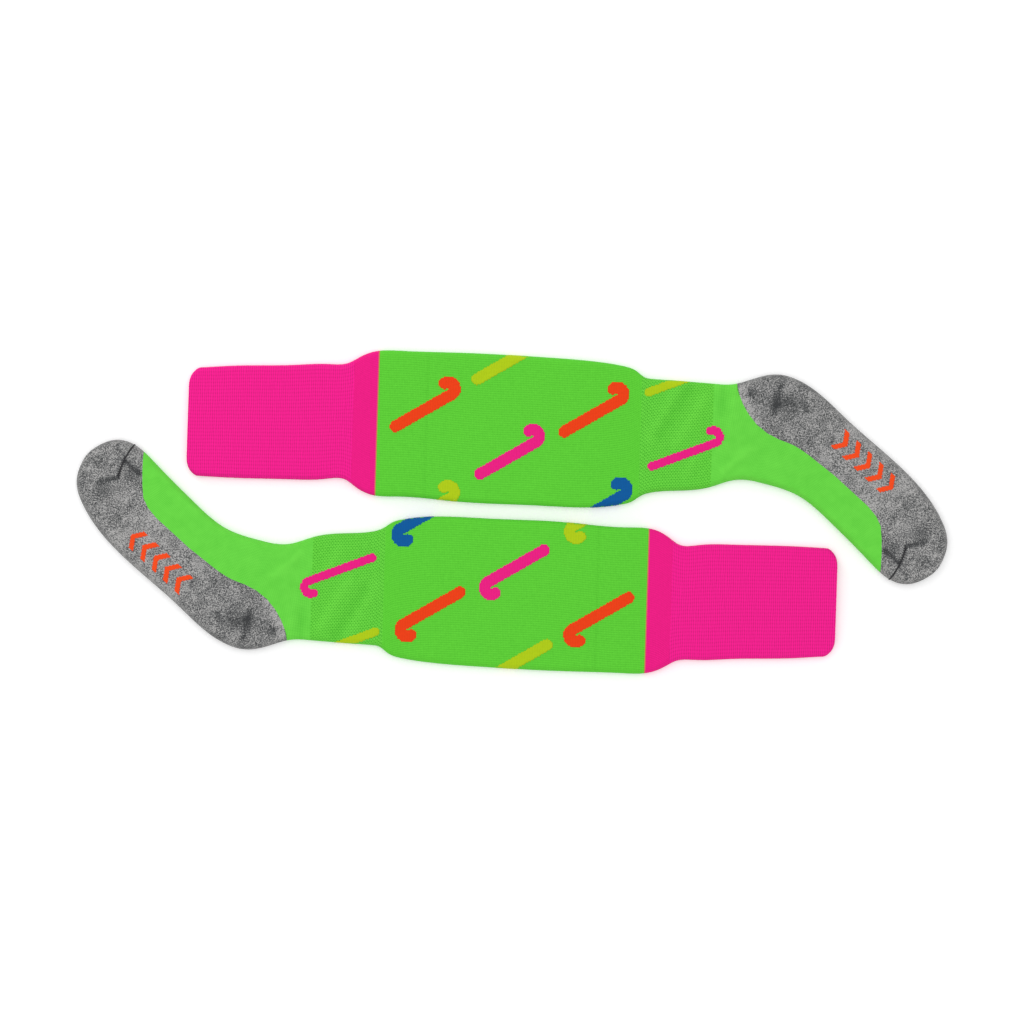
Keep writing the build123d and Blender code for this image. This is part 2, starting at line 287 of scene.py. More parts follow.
def face(t, reach, side, lift=0.0):
    """Points of the tube's outer face: t picks the course, reach is the distance along it."""
    shin, back = shin_fold(t), back_fold(t)
    width = back - shin
    to_foot = np.clip((FOOT_RISE_FROM - t) / FOOT_RISE_LENGTH, 0, 1)
    to_foot = to_foot * to_foot * (3 - 2 * to_foot)
    middle = 0.5 * (leg_height + (foot_height - leg_height) * to_foot)
    height = np.minimum(middle - 0.1, 0.5 * width)
    rim = np.minimum(FOLD_ROUND * height, 0.5 * width) + 1e-6
    edge = np.clip(np.minimum(reach - shin, back - reach) / rim, 0, 1)
    shape = np.sqrt(np.clip(1 - (1 - edge) ** 2, 0, 1))
    across = np.clip((reach - shin) / (width + 1e-6), 0, 1)
    crown = CROWN[0] + CROWN[1] * np.sin(np.pi * across)
    start_x, start_y, dx, dy = course(t)
    outward = np.where(across > 0.5, lift, -lift) * (1 - edge)
    x = start_x + dx * (reach + outward)
    y = start_y + dy * (reach + outward)
    soft = np.array([swell(px, py, side) for px, py in zip(x.ravel(), y.ravel())])
    soft = soft if side > 0 else UNDERSIDE_SWELL * soft
    up = shape * (height * crown + soft.reshape(x.shape) * shape + lift)
    return np.stack([x, y, middle + side * up], axis=-1)


def lay_tube(t, low, high, columns, closed):
    """Rows of points round the tube, one for each course in t, and the two measures of the knitting.

    Each row crosses the top from reach low to reach high and comes back underneath. The tube is
    closed at both folds, or only at the one named, where the two faces share their points.
    """
    ease = 0.5 - 0.5 * np.cos(np.pi * np.linspace(0, 1, columns + 1))
    t_grid = np.repeat(t[:, None], columns + 1, axis=1)
    reach = low[:, None] + (high - low)[:, None] * ease[None, :]
    top = face(t_grid, reach, 1)
    under = face(t_grid, reach, -1)[:, ::-1]
    if closed == "both":
        points = np.concatenate([top, under[:, 1:-1]], axis=1)
    elif closed == "back":
        points = np.concatenate([top, under[:, 1:]], axis=1)
    else:
        points = np.concatenate([under, top[:, 1:]], axis=1)
    steps = np.linalg.norm(np.diff(points, axis=1), axis=2)
    girth = np.concatenate([np.zeros((len(t), 1)), np.cumsum(steps, axis=1)], axis=1)
    return points, girth


def knit_mesh(name, points, along, girth, ring):
    """A mesh over rows of points. It keeps each point's course and wale, its painted light and shade
    and where it lies.
    """
    rows, columns = points.shape[:2]
    faces = []
    for i in range(rows - 1):
        here, beyond = i * columns, (i + 1) * columns
        for j in range(columns if ring else columns - 1):
            k = (j + 1) % columns
            faces.append((here + j, beyond + j, beyond + k, here + k))
    mesh = bpy.data.meshes.new(name)
    mesh.from_pydata(points.reshape(-1, 3).tolist(), [], faces)
    flat_points = points.reshape(-1, 3)
    painted_light_and_shade = np.zeros(len(flat_points))
    # Painted light and shade: listed patches made paler or darker.
    for x, y, radius, amount in light_and_shade_patches:
        away = (flat_points[:, 0] - x) ** 2 + (flat_points[:, 1] - y) ** 2
        painted_light_and_shade += amount * np.exp(-away / radius**2)
    # Painted light and shade on each crease: paler along its ridge, darker in its furrow.
    for start, end, width, rise in creases:
        for i, (x, y, _) in enumerate(flat_points):
            painted_light_and_shade[i] += CREASE_SHADE * rise * math.exp(-((near_line(x, y, start, end) / width) ** 2))
    knitting = np.column_stack([along.ravel(), girth.ravel(), painted_light_and_shade])
    measure(mesh, "knit", knitting)
    measure(mesh, "lie", flat_points * (1.0, 1.0, 4.0))
    mesh.polygons.foreach_set("use_smooth", [True] * len(mesh.polygons))
    mesh.update()
    return mesh


def measure(mesh, name, values):
    """Keeps three numbers for each point of a mesh, for its finish to read."""
    kept = mesh.attributes.new(name, "FLOAT_VECTOR", "POINT")
    kept.data.foreach_set("vector", np.asarray(values, dtype=np.float32).reshape(-1))


def tidy(mesh, gap=0.004):
    """Joins points that lie together and turns every face outwards."""
    work = bmesh.new()
    work.from_mesh(mesh)
    bmesh.ops.remove_doubles(work, verts=work.verts, dist=gap)
    bmesh.ops.dissolve_degenerate(work, edges=work.edges, dist=gap)
    bmesh.ops.recalc_face_normals(work, faces=work.faces)
    if work.calc_volume(signed=True) < 0:
        bmesh.ops.reverse_faces(work, faces=work.faces)
    for edge in work.edges:
        edge.smooth = not edge.is_boundary
    work.to_mesh(mesh)
    work.free()


def nodes_of(name):
    """A new material with its shader, and short ways to add and join nodes in it."""
    finish = bpy.data.materials.new(name)
    finish.use_nodes = True
    tree = finish.node_tree
    shader = tree.nodes["Principled BSDF"]

    def node(kind, **values):
        made = tree.nodes.new(kind)
        for key, value in values.items():
            setattr(made, key, value)
        return made

    def join(source, target):
        tree.links.new(source, target)

    def maths(operation, first, second=None):
        made = node("ShaderNodeMath", operation=operation)
        for socket, value in zip(made.inputs, (first, second)):
            if isinstance(value, (int, float)):
                socket.default_value = value
            elif value is not None:
                join(value, socket)
        return made.outputs[0]

    return finish, shader, node, join, maths


def knitted(name, yarn, groove_shade, wale, course_gap, relief, heather_size=0.5, holes=None):
    """Jersey knit: columns of V stitches, with painted shade in their grooves and slightly uneven yarn.

    Holes give their spacing along and round the tube and how much painted shade darkens them.
    """
    finish, shader, node, join, maths = nodes_of(name)
    place = node("ShaderNodeAttribute", attribute_name="knit")
    split = node("ShaderNodeSeparateXYZ")
    join(place.outputs["Vector"], split.inputs[0])
    columns = maths("FRACT", maths("DIVIDE", split.outputs["Y"], wale))
    lean = maths("ABSOLUTE", maths("SUBTRACT", columns, 0.5))
    rows = maths("DIVIDE", split.outputs["X"], course_gap)
    rows = maths("ADD", rows, maths("MULTIPLY", lean, 0.9))
    stitch = maths("ABSOLUTE", maths("SINE", maths("MULTIPLY", rows, math.pi)))
    column = maths("SINE", maths("MULTIPLY", columns, math.pi))
    height = maths("ADD", maths("MULTIPLY", column, 0.55), maths("MULTIPLY", stitch, 0.45))
    uneven = node("ShaderNodeTexNoise")
    uneven.inputs["Scale"].default_value = heather_size
    uneven.inputs["Detail"].default_value = 3.0
    lie = node("ShaderNodeAttribute", attribute_name="lie")
    join(lie.outputs["Vector"], uneven.inputs["Vector"])
    # Painted shade: the stitch's height sets its colour, so the grooves between stitches go darker
    # towards the groove colour.
    tone = maths("MULTIPLY", height, 0.62)
    tone = maths("ADD", tone, maths("MULTIPLY", uneven.outputs[0], 4 * HEATHER))
    tone = maths("SUBTRACT", tone, 2 * HEATHER - 0.30)
    # Painted light and shade from each point's third knit measure: paler on crease ridges and listed
    # patches, darker in furrows and hollows.
    tone = maths("ADD", tone, split.outputs["Z"])
    if holes:
        gap_along, gap_round, shade = holes
        low = maths("SINE", maths("MULTIPLY", split.outputs["X"], 2 * math.pi / gap_along))
        side = maths("SINE", maths("MULTIPLY", split.outputs["Y"], 2 * math.pi / gap_round))
        dot = maths("GREATER_THAN", maths("MULTIPLY", low, side), HOLE_EDGE)
        # Painted shade: each hole is darkened, as the tube's inside shows through it in shade.
        tone = maths("SUBTRACT", tone, maths("MULTIPLY", dot, shade))
        height = maths("SUBTRACT", height, maths("MULTIPLY", dot, HOLE_SINK))
    mix = node("ShaderNodeMix", data_type="RGBA")
    mix.inputs["A"].default_value = (*groove_shade, 1.0)
    mix.inputs["B"].default_value = (*yarn, 1.0)
    clamp = node("ShaderNodeClamp")
    join(tone, clamp.inputs[0])
    join(clamp.outputs[0], mix.inputs["Factor"])
    join(mix.outputs["Result"], shader.inputs["Base Color"])
    bump = node("ShaderNodeBump")
    bump.inputs["Strength"].default_value = relief
    bump.inputs["Distance"].default_value = 0.0004
    join(height, bump.inputs["Height"])
    join(bump.outputs[0], shader.inputs["Normal"])
    shader.inputs["Roughness"].default_value = 0.82
    shader.inputs["Specular IOR Level"].default_value = 0.12
    shader.inputs["Sheen Weight"].default_value = 0.03
    shader.inputs["Sheen Roughness"].default_value = 0.5
    return finish


def set_down(name, mesh, finish, bodies, stands_for, wall=0.0):
    """Puts one piece on both socks: its mesh laid in place, with its wall and finish, tied to its body
    when it names just one, and the CAD parts it stands for hidden.
    """
    for sock, place in socks.items():
        own = mesh.copy()
        own.transform(place)
        piece = bpy.data.objects.new(f"{sock}_{name}", own)
        scene.collection.objects.link(piece)
        own.materials.append(finish)
        if wall:
            solid = piece.modifiers.new("wall", "SOLIDIFY")
            solid.thickness = wall * 0.001
            solid.offset = -1.0
            solid.use_even_offset = False
        if len(bodies) == 1:
            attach(piece, f"{sock}_{bodies[0]}")
        else:
            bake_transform(piece)
        if stands_for:
            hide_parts(*[f"sock_{sock}_{node}" for node in stands_for])


def whole_ring(name, t, columns, finish, bodies, stands_for, wall):
    """A zone that goes all the way round the tube."""
    points, girth = lay_tube(t, shin_fold(t), back_fold(t), columns, "both")
    along = np.repeat(t[:, None], points.shape[1], axis=1)
    mesh = knit_mesh(name, points, along, girth, True)
    tidy(mesh)
    set_down(name, mesh, finish, bodies, stands_for, wall)


creases += [((243.0, -58.0), (243.0, 58.0), 1.1, -0.30)]
calf_knit = knitted("calf_jersey", CALF_GREEN, CALF_GROOVE_SHADE, JERSEY_WALE, JERSEY_COURSE, 0.35)
calf_rows = np.linspace(calf_from, calf_to - JOIN_HALF, 150)
whole_ring("calf", calf_rows, 60, calf_knit, ("leg",), ("calf",), JERSEY_WALL)


# ---------------------------------------------------------------- the sticks knitted into the calf
# Little hockey sticks in orange, pink, yellow and blue yarn, knitted in with the courses, so their
# edges go in steps of one stitch. Some run over a fold and on round the back of the leg.
CALF_STITCH = (1.0, 1.04)
HOOK_RADIUS = 5.2
HOOK_SWEEP = 186.0
CALF_STICK = (51.5, 9.3, 31.5)
YARN_LIFT = 0.16
YARN_WALL = 0.35
YARN_WALE = 1.04
YARN_COURSE = 2.0
REACH_HALF = 66.0
STICK_YARNS = {
    "orange": (0.880, 0.052, 0.006),
    "pink": (0.865, 0.012, 0.235),
    "yellow": (0.450, 0.630, 0.007),
    "blue": (0.002, 0.105, 0.350),
}
CALF_STICKS = {
    "orange": ((92.0, -29.6), (226.5, -29.6)),
    "pink": ((158.0, 6.2),),
    "yellow": ((162.5, -69.3), (224.5, 53.1)),
    "blue": ((87.0, 46.3),),
}


def in_stick(x, y, hook, length, thick, tilt):
    """Whether a point of the lay is inside a stick, whose hook curls round the point hook."""
    turn = math.radians(tilt)
    dx, dy = x - hook[0], y - hook[1]
    u = dx * math.cos(turn) + dy * math.sin(turn)
    v = -dx * math.sin(turn) + dy * math.cos(turn)
    half = thick / 2
    if u >= 0 and math.hypot(max(u - length, 0), v - HOOK_RADIUS) <= half:
        return True
    swept = math.degrees(math.atan2(v, u)) % 360 - 90
    if 0 <= swept <= HOOK_SWEEP:
        return abs(math.hypot(u, v) - HOOK_RADIUS) <= half
    last = math.radians(90 + HOOK_SWEEP)
    return math.hypot(u - HOOK_RADIUS * math.cos(last), v - HOOK_RADIUS * math.sin(last)) <= half


def inlay(name, chosen, t_range, reach_range, yarn, bodies, stands_for, stitch=CALF_STITCH):
    """Yarn knitted in: every stitch whose middle is chosen, on both faces, a touch proud."""
    long, wide = stitch
    t_lines = np.arange(t_range[0], t_range[1], long)
    reach_lines = np.arange(reach_range[0], reach_range[1], wide)
    corners, faces, measures, index = [], [], [], {}

    def corner(i, j, side):
        """The number of a stitch's corner, which the two faces share on a fold."""
        t = t_lines[i]
        shin, back = float(shin_fold(t)), float(back_fold(t))
        reach = min(max(reach_lines[j], shin), back)
        on_fold = reach in (shin, back)
        key = (i, round(reach, 3), 0 if on_fold else side)
        if key not in index:
            index[key] = len(corners)
            corners.append(face(np.array([t]), np.array([reach]), side, YARN_LIFT)[0])
            measures.append((t, reach, 0.0))
        return index[key]

    for side in (1, -1):
        for i in range(len(t_lines) - 1):
            t = t_lines[i] + long / 2
            shin, back = float(shin_fold(t)), float(back_fold(t))
            for j in range(len(reach_lines) - 1):
                reach = reach_lines[j] + wide / 2
                if not shin - wide / 2 < reach < back + wide / 2:
                    continue
                start_x, start_y, dx, dy = (float(v) for v in course(np.array(t)))
                if not chosen(start_x + dx * reach, start_y + dy * reach):
                    continue
                ring = ((i, j), (i + 1, j), (i + 1, j + 1), (i, j + 1))
                quad = list(dict.fromkeys(corner(*at, side) for at in ring))
                if len(quad) > 2:
                    faces.append(quad if side < 0 else quad[::-1])
    mesh = bpy.data.meshes.new(name)
    mesh.from_pydata([tuple(c) for c in corners], [], faces)
    measure(mesh, "knit", measures)
    measure(mesh, "lie", corners)
    mesh.polygons.foreach_set("use_smooth", [True] * len(mesh.polygons))
    mesh.update()
    set_down(name, mesh, yarn, bodies, stands_for, YARN_WALL)


yarn_finishes = {}
for colour, tint in STICK_YARNS.items():
    # Painted shade: each yarn's groove colour is the same yarn darker.
    dark = tuple(0.72 * part for part in tint)
    yarn_finishes[colour] = knitted("yarn_" + colour, tint, dark, YARN_WALE, YARN_COURSE, 0.3)


def any_of(sticks, length, thick, tilt):
    """A test for points inside any of several sticks."""
    return lambda x, y: any(in_stick(x, y, hook, length, thick, tilt) for hook in sticks)


leg_reach = (SHIN_SIDE - REACH_HALF, SHIN_SIDE + REACH_HALF)
for colour, hooks in CALF_STICKS.items():
    inlay(
        "calf_sticks_" + colour,
        any_of(hooks, *CALF_STICK),
        (calf_from, calf_to - 1.0),
        leg_reach,
        yarn_finishes[colour],
        ("leg",),
        ("sticks_" + colour,) if colour in ("orange", "blue") else (),
    )


# ---------------------------------------------------------------- the mesh over the ankle
# An airy zone between calf and ankle, in the same green with rows of tiny open holes. One pink and one
# yellow stick lie in it, flatter than those of the calf.
MESH_GREEN = (0.165, 0.720, 0.062)
# The groove colour is painted shade: the same green, darker where the stitches dip.
MESH_GROOVE_SHADE = (0.050, 0.400, 0.018)
MESH_WALE = 2.2
MESH_COURSE = 1.5
MESH_HOLES = (2.3, 3.0, 0.55)
MESH_WALL = 1.2
MESH_STICK = (54.0, 6.8, 22.0)
MESH_STICKS = {"pink": ((14.5, 2.1),), "yellow": ((18.5, -57.0),)}
ANKLE_BEND = ("leg", "foot", Vector((42.0, 0.0, 5.0)), Vector((-52.0, 0.0, 5.0)))

# These creases also paint light along their ridges and shade in their furrows; on the ankle this makes
# the instep's paler streaks.
creases += [
    ((22.0, -30.0), (44.0, 8.0), 4.5, 0.45),
    ((34.0, -36.0), (58.0, 2.0), 4.0, -0.40),
    ((46.0, -34.0), (66.0, 6.0), 4.5, 0.35),
    ((24.0, 12.0), (36.0, 34.0), 4.0, 0.30),
    ((-15.0, 10.0), (5.0, 29.0), 3.0, 0.55),
    ((8.0, -16.0), (7.0, -40.0), 3.2, -0.50),
    ((-2.0, -12.0), (-1.0, -36.0), 3.5, 0.30),
]
mesh_knit = knitted(
    "mesh_knit", MESH_GREEN, MESH_GROOVE_SHADE, MESH_WALE, MESH_COURSE, 0.45, holes=MESH_HOLES
)
mesh_rows = np.linspace(0.0, calf_from, 40)
whole_ring(
    "ankle_mesh", mesh_rows, 54, mesh_knit, ANKLE_BEND, ("ankle_mesh",), MESH_WALL
)
for colour, hooks in MESH_STICKS.items():
    inlay(
        "mesh_sticks_" + colour,
        any_of(hooks, *MESH_STICK),
        (-20.0, calf_from),
        leg_reach,
        yarn_finishes[colour],
        ANKLE_BEND,
        ("sticks_" + colour,),
    )


# ---------------------------------------------------------------- the flare and the ribbed cuff
# Pink plain knit flares in from the calf to the cuff. The cuff is a deep one-by-one rib that grips
# below the knee, with elastic laid inside and a turned welt at the mouth.
CUFF_PINK = (0.930, 0.012, 0.290)
# Each groove colour is painted shade: the rib's furrows and the flare's grooves go darker towards it.
# The elastic inside takes the rib's groove colour as its own.
CUFF_GROOVE = (0.480, 0.005, 0.115)
FLARE_PINK = (0.900, 0.010, 0.250)
FLARE_GROOVE_SHADE = (0.620, 0.006, 0.160)
JOIN_YARN = (0.560, 0.200, 0.060)
RIBS_ROUND = 66
RIB_DEPTH = 0.18
RIB_COURSE = 1.7
RIB_SHADE = 0.28
DASH_SHADE = 0.62
RIB_GROUND = 0.24
RIB_WALL = 1.5
WELT_WALL = 2.2
FOLD_HALF = 6.2
fold_at = on_lay("cuff_rib")[:, 0].min() - ANKLE_TOP
welt_at = on_lay("cuff_welt")[:, 0].min() - ANKLE_TOP
fold_x = fold_at + ANKLE_TOP
fold_start = Vector((fold_x - FOLD_HALF, 0.0, 5.0))
fold_end = Vector((fold_x + FOLD_HALF, 0.0, 5.0))
CUFF_FOLD = ("leg", "cuff", fold_start, fold_end)

join_knit = knitted("join_course", JOIN_YARN, FLARE_GROOVE_SHADE, JERSEY_WALE, JERSEY_COURSE, 0.3)
join_rows = np.linspace(calf_to - JOIN_HALF, calf_to + JOIN_HALF, 3)
whole_ring("join_course", join_rows, 60, join_knit, ("leg",), (), JERSEY_WALL)
flare_knit = knitted("flare_knit", FLARE_PINK, FLARE_GROOVE_SHADE, JERSEY_WALE, JERSEY_COURSE, 0.35)
flare_rows = np.linspace(calf_to + JOIN_HALF, fold_at, 16)
whole_ring(
    "cuff_flare", flare_rows, 60, flare_knit, CUFF_FOLD, ("cuff_flare",), JERSEY_WALL
)


def rib_finish():
    """The rib's yarn: painted shade in its furrows, and a short dash for every course on each rib,
    painted lighter than the gaps between.
    """
    finish, shader, node, join, maths = nodes_of("rib_knit")
    place = node("ShaderNodeAttribute", attribute_name="knit")
    split = node("ShaderNodeSeparateXYZ")
    join(place.outputs["Vector"], split.inputs[0])
    drift = node("ShaderNodeTexNoise")
    drift.inputs["Scale"].default_value = 0.25
    join(place.outputs["Vector"], drift.inputs["Vector"])
    wander = maths("MULTIPLY", maths("SUBTRACT", drift.outputs[0], 0.5), 0.3)
    rib = maths("ADD", split.outputs["Y"], wander)
    rib = maths("ABSOLUTE", maths("SINE", maths("MULTIPLY", rib, math.pi)))
    row = maths("DIVIDE", split.outputs["X"], RIB_COURSE)
    row = maths("ADD", row, maths("MULTIPLY", drift.outputs[0], 0.8))
    dash = maths("ABSOLUTE", maths("SINE", maths("MULTIPLY", row, math.pi)))
    tone = maths("ADD", maths("MULTIPLY", rib, RIB_SHADE), maths("MULTIPLY", dash, DASH_SHADE))
    tone = maths("ADD", tone, RIB_GROUND)
    clamp = node("ShaderNodeClamp")
    join(tone, clamp.inputs[0])
    mix = node("ShaderNodeMix", data_type="RGBA")
    mix.inputs["A"].default_value = (*CUFF_GROOVE, 1.0)
    mix.inputs["B"].default_value = (*CUFF_PINK, 1.0)
    join(clamp.outputs[0], mix.inputs["Factor"])
    join(mix.outputs["Result"], shader.inputs["Base Color"])
    bump = node("ShaderNodeBump")
    bump.inputs["Strength"].default_value = 0.4
    bump.inputs["Distance"].default_value = 0.0005
    join(dash, bump.inputs["Height"])
    join(bump.outputs[0], shader.inputs["Normal"])
    shader.inputs["Roughness"].default_value = 0.8
    shader.inputs["Specular IOR Level"].default_value = 0.12
    shader.inputs["Sheen Weight"].default_value = 0.03
    return finish


def ribbed(name, t, columns, wall, stands_for, bodies, even):
    """A ribbed ring: the tube's points, each pushed in where it lies in a furrow between two ribs.

    The ribs run out from the middle of each face. Where even is true they keep their first width.
    """
    points, _ = lay_tube(t, shin_fold(t), back_fold(t), columns, "both")
    loop = np.concatenate([points, points[:, :1]], axis=1)
    steps = np.linalg.norm(np.diff(loop, axis=1), axis=2)
    girth = np.concatenate([np.zeros((len(t), 1)), np.cumsum(steps, axis=1)], axis=1)
    whole = girth[:1, -1:] if even else girth[:, -1:]
    half = columns // 2
    on_top = np.arange(points.shape[1]) <= columns
    top_middle = girth[:, half : half + 1]
    under_middle = girth[:, columns + half : columns + half + 1]
    middles = np.where(on_top[None, :], top_middle, under_middle)
    ribs = (girth[:, :-1] - middles) / whole * RIBS_ROUND + 100.0
    middle = points.mean(axis=1, keepdims=True)
    middle[:, :, 2] = leg_height / 2
    toward = np.roll(points, -1, axis=1) - np.roll(points, 1, axis=1)
    normal = np.stack([np.zeros_like(toward[..., 0]), toward[..., 2], -toward[..., 1]], axis=-1)
    outward = np.sign(np.sum(normal * (points - middle), axis=-1, keepdims=True))
    normal = normal * outward / (np.linalg.norm(normal, axis=-1, keepdims=True) + 1e-9)
    furrow = np.abs(np.sin(np.pi * ribs)) ** 0.8 - 1.0
    points = points + normal * (RIB_DEPTH * furrow)[..., None]
    along = np.repeat(t[:, None], points.shape[1], axis=1)
    mesh = knit_mesh(name, points, along, ribs, True)
    tidy(mesh)
    set_down(name, mesh, rib_knit, bodies, stands_for, wall)


rib_knit = rib_finish()
rib_rows = fold_at + (welt_at - fold_at) * np.linspace(0, 1, 46) ** 1.6
ribbed("cuff_rib", rib_rows, 220, RIB_WALL, ("cuff_rib",), CUFF_FOLD, False)
welt_rows = welt_at + (mouth_at - 0.1 - welt_at) * (1 - (1 - np.linspace(0, 1, 22)) ** 1.8)
ribbed("cuff_welt", welt_rows, 220, WELT_WALL, ("cuff_welt",), ("cuff",), True)

elastic_finish, elastic_shader, *_ = nodes_of("covered_elastic")
elastic_shader.inputs["Base Color"].default_value = (*CUFF_GROOVE, 1.0)
elastic_shader.inputs["Roughness"].default_value = 0.6
for sock, place in socks.items():
    rings = frame["nodes"][f"sock_{sock}_cuff_elastic"].data.copy()
    rings.materials.clear()
    rings.materials.append(elastic_finish)
    elastic = bpy.data.objects.new(f"{sock}_cuff_elastic", rings)
    scene.collection.objects.link(elastic)
    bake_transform(elastic)
    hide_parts(f"sock_{sock}_cuff_elastic")


# ---------------------------------------------------------------- the instep and ankle
# Smooth satin green over the top of the foot and round the front of the ankle, in a finer gauge than
# the calf, with a few paler streaks along it.
INSTEP_GREEN = (0.160, 0.715, 0.068)
# The groove colour is painted shade: the same green, darker where the stitches dip.
INSTEP_GROOVE_SHADE = (0.062, 0.460, 0.026)
BORDER = (
    (-52.0, -1.0),
    (-44.0, 5.0),
    (-37.0, 10.5),
    (-29.0, 14.5),
    (-20.0, 17.5),
    (-9.0, 19.2),
    (2.0, 18.4),
    (12.0, 15.6),
    (24.0, 10.8),
    (42.0, 8.0),
    (64.0, 6.2),
    (100.0, 5.7),
    (110.0, 7.0),
    (118.0, 10.2),
    (126.0, 17.5),
    (134.0, 26.0),
    (146.0, 40.0),
)
HEEL_MIDDLE = (-39.5, -17.0)
BORDER_LEAST = 0.3
SATIN_WALL = 1.4


def from_foot(a, b):
    """A point of the lay, from its place along the foot and across it, measured from the heel."""
    x = HEEL_MIDDLE[0] - a * math.cos(FOOT_BEND) + b * math.sin(FOOT_BEND)
    y = HEEL_MIDDLE[1] + a * math.sin(FOOT_BEND) + b * math.cos(FOOT_BEND)
    return x, y


border_at = sorted(off_course(*from_foot(a, b)) for a, b in BORDER)
border_t = np.array([t for t, _ in border_at])
border_reach = np.array([reach for _, reach in border_at])


def border(t):
    """Where each course changes from green to grey, kept between the two folds."""
    reach = np.interp(t, border_t, border_reach, left=0.0, right=1000.0)
    return np.clip(reach, shin_fold(t), back_fold(t))


foot_courses = np.linspace(toe_at, 0.0, 800)
gap_to_back = back_fold(foot_courses) - border(foot_courses)
gap_to_shin = border(foot_courses) - shin_fold(foot_courses)
grey_from = foot_courses[gap_to_back > BORDER_LEAST].max()
green_to = foot_courses[gap_to_shin > BORDER_LEAST].min()

# The instep's paler streaks are painted highlights along the ankle's creases, listed with the mesh.
instep_knit = knitted("instep_knit", INSTEP_GREEN, INSTEP_GROOVE_SHADE, 1.3, 1.1, 0.2, heather_size=0.12)
ankle_rows = np.linspace(grey_from, 0.0, 12)
whole_ring(
    "ankle", ankle_rows, 54, instep_knit, ANKLE_BEND, ("ankle",), SATIN_WALL
)

instep_rows = np.linspace(green_to, grey_from, 90)
points, girth = lay_tube(instep_rows, shin_fold(instep_rows), border(instep_rows), 40, "shin")
along = np.repeat(instep_rows[:, None], points.shape[1], axis=1)
instep_mesh = knit_mesh("instep", points, along, girth, False)
tidy(instep_mesh)
set_down("instep", instep_mesh, instep_knit, ANKLE_BEND, ("instep",), SATIN_WALL)


# ---------------------------------------------------------------- the heel, the sole and the toe cap
# Grey marl in a looped terry knit, thick and matt, where the boot rubs: round the heel, under the
# sole and over the toes. Light and dark fibres are spun together, so it is speckled all over.
MARL_DARK = (0.045, 0.047, 0.049)
MARL_MIDDLE = (0.165, 0.168, 0.168)
MARL_LIGHT = (0.440, 0.432, 0.425)
MARL_STEPS = (0.36, 0.5, 0.62)
MARL_FLECK = 1.15
MARL_CLOUD = 0.22
TERRY_WALL = 2.4
SOLE_FROM = -FAN
TOE_CAP_FROM = -FAN - 73.0


def marl(name, light):
    """Speckled grey terry: fibres of three greys in short flecks, over a loop at every stitch, with
    painted light and shade added on top.
    """
    finish, shader, node, join, maths = nodes_of(name)
    place = node("ShaderNodeAttribute", attribute_name="lie")
    painted_light_and_shade = node("ShaderNodeSeparateXYZ")
    knitting = node("ShaderNodeAttribute", attribute_name="knit")
    join(knitting.outputs["Vector"], painted_light_and_shade.inputs[0])
    fleck = node("ShaderNodeTexNoise")
    fleck.inputs["Scale"].default_value = MARL_FLECK
    fleck.inputs["Detail"].default_value = 2.0
    fleck.inputs["Roughness"].default_value = 0.6
    join(place.outputs["Vector"], fleck.inputs["Vector"])
    cloud = node("ShaderNodeTexNoise")
    cloud.inputs["Scale"].default_value = 0.09
    join(place.outputs["Vector"], cloud.inputs["Vector"])
    cloudy = maths("MULTIPLY", maths("SUBTRACT", cloud.outputs[0], 0.5), MARL_CLOUD)
    tone = maths("ADD", fleck.outputs[0], cloudy)
    # Painted light and shade: each point's third knit measure, and the given light, which paints a
    # whole copy paler.
    tone = maths("ADD", tone, maths("ADD", painted_light_and_shade.outputs["Z"], light))
    ramp = node("ShaderNodeValToRGB")
    ramp.color_ramp.elements[0].position = MARL_STEPS[0]
    ramp.color_ramp.elements[0].color = (*MARL_DARK, 1.0)
    ramp.color_ramp.elements[1].position = MARL_STEPS[2]
    ramp.color_ramp.elements[1].color = (*MARL_LIGHT, 1.0)
    middle = ramp.color_ramp.elements.new(MARL_STEPS[1])
    middle.color = (*MARL_MIDDLE, 1.0)
    join(tone, ramp.inputs[0])
    join(ramp.outputs[0], shader.inputs["Base Color"])
    loops = node("ShaderNodeTexVoronoi")
    loops.inputs["Scale"].default_value = 0.75
    join(place.outputs["Vector"], loops.inputs["Vector"])
    height = maths("ADD", maths("MULTIPLY", loops.outputs["Distance"], -0.9), fleck.outputs[0])
    bump = node("ShaderNodeBump")
    bump.inputs["Strength"].default_value = 0.55
    bump.inputs["Distance"].default_value = 0.0007
    join(height, bump.inputs["Height"])
    join(bump.outputs[0], shader.inputs["Normal"])
    shader.inputs["Roughness"].default_value = 0.95
    shader.inputs["Specular IOR Level"].default_value = 0.12
    shader.inputs["Sheen Weight"].default_value = 0.12
    return finish


def grey_piece(name, t, bodies, stands_for, finish, shut=False):
    """A zone of terry that wraps round the back fold, from the border above to the border below.

    Where shut is true its first row closes over the end of the toe.
    """
    points, girth = lay_tube(t, border(t), back_fold(t), 44, "back")
    if shut:
        tip = np.broadcast_to(points[:1].mean(axis=1, keepdims=True), points[:1].shape)
        points = np.concatenate([tip, points])
        girth = np.concatenate([girth[:1], girth])
        t = np.append(t[:1], t)
    along = np.repeat(t[:, None], points.shape[1], axis=1)
    mesh = knit_mesh(name, points, along, girth, False)
    tidy(mesh)
    set_down(name, mesh, finish, bodies, stands_for, TERRY_WALL)


# The same terry in two copies: the heel's and toe cap's painted darker for the shade in their hollows
# and creases, the sole's painted lighter.
marl_shaded = marl("marl_terry", 0.012)
marl_lit = marl("marl_terry_sole", 0.045)
